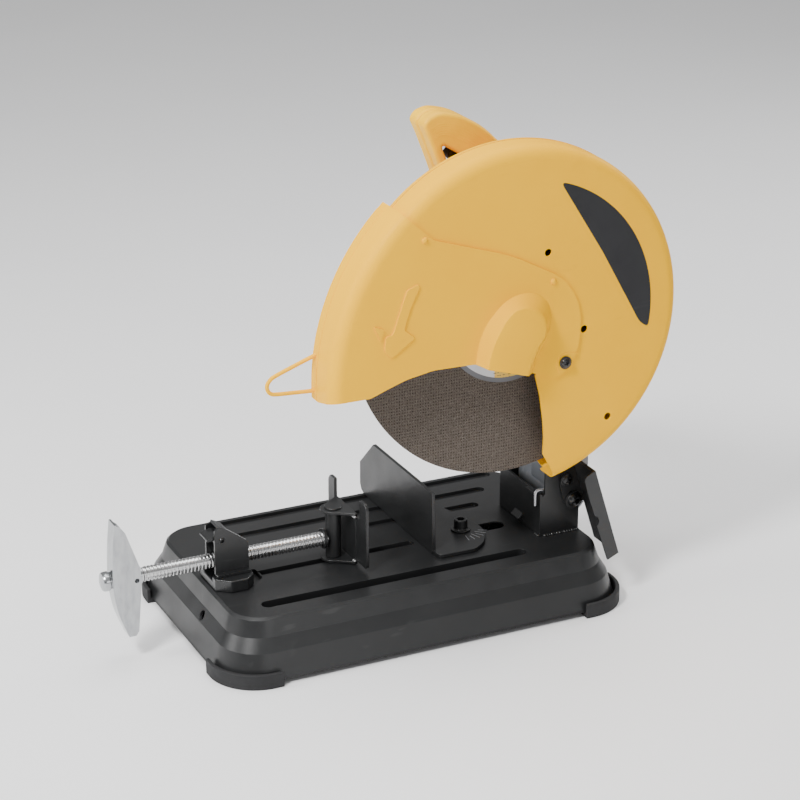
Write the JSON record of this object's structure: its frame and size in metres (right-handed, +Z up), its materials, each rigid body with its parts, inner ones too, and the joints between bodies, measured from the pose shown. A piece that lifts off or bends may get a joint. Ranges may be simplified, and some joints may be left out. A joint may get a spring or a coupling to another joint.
{
  "type": "abrasive chop saw",
  "caption": "Bench abrasive chop saw: sprung cutting head with guarded wheel over a pressed steel base with a screw vise and swivelling fence.",
  "frame": {"origin": "middle of the bottom of the whole saw's box, on the floor under the rubber feet", "axes": "+Z up; +Y from the operator towards the hinge at the back; +X the operator's right, along the pivot, spindle and motor axes"},
  "size_m": [0.304, 0.62, 0.557],
  "materials": {
    "black_painted_steel": "satin black paint",
    "dark_steel": "satin dark, blackened",
    "rubber": "matte moulded rubber",
    "zinc_plate": "zinc plated",
    "bright_steel": "machined bright steel",
    "chrome": "polished chrome",
    "yellow_paint": "semi-gloss yellow paint",
    "yellow_plastic": "moulded yellow plastic",
    "grey_casting": "painted grey casting",
    "black_plastic": "moulded black plastic",
    "abrasive": "resin-bonded abrasive with woven mesh",
    "label_paper": "paper blotter"
  },
  "bodies": {
    "base": {"base_pan": "black_painted_steel", "foot_front_right": "rubber", "foot_front_left": "rubber", "foot_rear_right": "rubber", "foot_rear_left": "rubber", "rear_bracket": "black_painted_steel", "spark_deflector": "black_painted_steel", "deflector_screw": "dark_steel", "pivot_bolt": "dark_steel", "pivot_nut": "zinc_plate", "depth_stop_bolt": "zinc_plate", "depth_stop_nut": "zinc_plate", "return_spring": "zinc_plate", "vice_bracket": "dark_steel", "vice_pedestal": "dark_steel", "nut_pin": "bright_steel", "fence_bolt": "dark_steel"},
    "head": {"arm": "grey_casting", "gear_case": "grey_casting", "guard_near_half": "yellow_paint", "guard_far_half": "yellow_paint", "spindle_bearing": "bright_steel", "motor_housing": "black_plastic", "motor_end_cap": "black_plastic", "stator": "bright_steel", "front_motor_bearing": "bright_steel", "rear_motor_bearing": "bright_steel", "brush_cap_top": "dark_steel", "brush_cap_bottom": "dark_steel", "cord_gland": "rubber", "handle_left": "yellow_plastic", "handle_right": "yellow_plastic"},
    "spindle": {"spindle": "bright_steel", "drive_gear": "bright_steel", "inner_flange": "bright_steel", "abrasive_wheel": "abrasive", "wheel_label": "label_paper", "outer_flange": "bright_steel", "arbor_washer": "bright_steel", "arbor_bolt": "dark_steel"},
    "armature": {"armature": "bright_steel", "motor_pinion": "bright_steel"},
    "guard_cover": {"guard_cover": "yellow_paint", "cover_loop": "yellow_paint", "cover_screw": "dark_steel"},
    "trigger": {"trigger": "black_plastic"},
    "lock_button": {"lock_button": "black_plastic"},
    "vice_carriage": {"jaw_pivot_tube": "black_painted_steel", "screw_collar": "dark_steel"},
    "vice_screw": {"vice_screw": "bright_steel", "crank": "chrome", "crank_rivet": "chrome"},
    "vice_jaw": {"vice_jaw": "black_painted_steel"},
    "half_nut": {"half_nut_lever": "dark_steel"},
    "fence": {"fence": "black_painted_steel"}
  },
  "joints": [
    {"name": "head_pivot", "type": "hinge", "parent": "base", "child": "head", "pos_m": [0, 0.2215, 0.1065], "axis": [1, 0, 0], "range_deg": [0, 35.5], "stiffness_Nm_per_rad": 17.5, "springref_deg": -44.69},
    {"name": "spindle_turn", "type": "hinge", "parent": "head", "child": "spindle", "pos_m": [0.095, 0.123, 0.346], "axis": [1, 0, 0], "continuous": true},
    {"name": "armature_turn", "type": "hinge", "parent": "head", "child": "armature", "pos_m": [0, 0.169, 0.346], "axis": [1, 0, 0], "continuous": true},
    {"name": "cover_swing", "type": "hinge", "parent": "head", "child": "guard_cover", "pos_m": [0.095, 0.123, 0.346], "axis": [1, 0, 0], "range_deg": [-17, 0]},
    {"name": "trigger_press", "type": "hinge", "parent": "head", "child": "trigger", "pos_m": [0.031, 0.103, 0.503], "axis": [1, 0, 0], "range_deg": [-8, 0], "stiffness_Nm_per_rad": 0.5, "springref_deg": 5.73},
    {"name": "lock_press", "type": "slide", "parent": "head", "child": "lock_button", "axis": [0, 0, -1], "range_m": [0, 0.0025], "stiffness_N_per_m": 600, "springref_m": -0.001},
    {"name": "vice_travel", "type": "slide", "parent": "base", "child": "vice_carriage", "axis": [0, 1, 0], "range_m": [-0.085, 0.055]},
    {"name": "vice_screw_turn", "type": "hinge", "parent": "vice_carriage", "child": "vice_screw", "pos_m": [0.0225, -0.268, 0.0935], "axis": [0, 1, 0], "range_deg": [-7650, 4950]},
    {"name": "jaw_swivel", "type": "hinge", "parent": "vice_carriage", "child": "vice_jaw", "pos_m": [0.0225, -0.047, 0.0935], "axis": [0, 0, 1], "range_deg": [-30, 30]},
    {"name": "half_nut_lift", "type": "hinge", "parent": "base", "child": "half_nut", "pos_m": [0.0225, -0.1807, 0.121], "axis": [1, 0, 0], "range_deg": [0, 15], "stiffness_Nm_per_rad": 0.6, "springref_deg": -8.59},
    {"name": "fence_turn", "type": "hinge", "parent": "base", "child": "fence", "pos_m": [0.024, 0.1065, 0.0675], "axis": [0, 0, 1], "range_deg": [-45, 15]}
  ],
  "couplings": [
    {"joint": "armature_turn", "follows": "spindle_turn", "ratio": -4.5455},
    {"joint": "cover_swing", "follows": "head_pivot", "ratio": -0.45},
    {"joint": "vice_travel", "follows": "vice_screw_turn", "m_per_rad": 0.00063662}
  ]
}
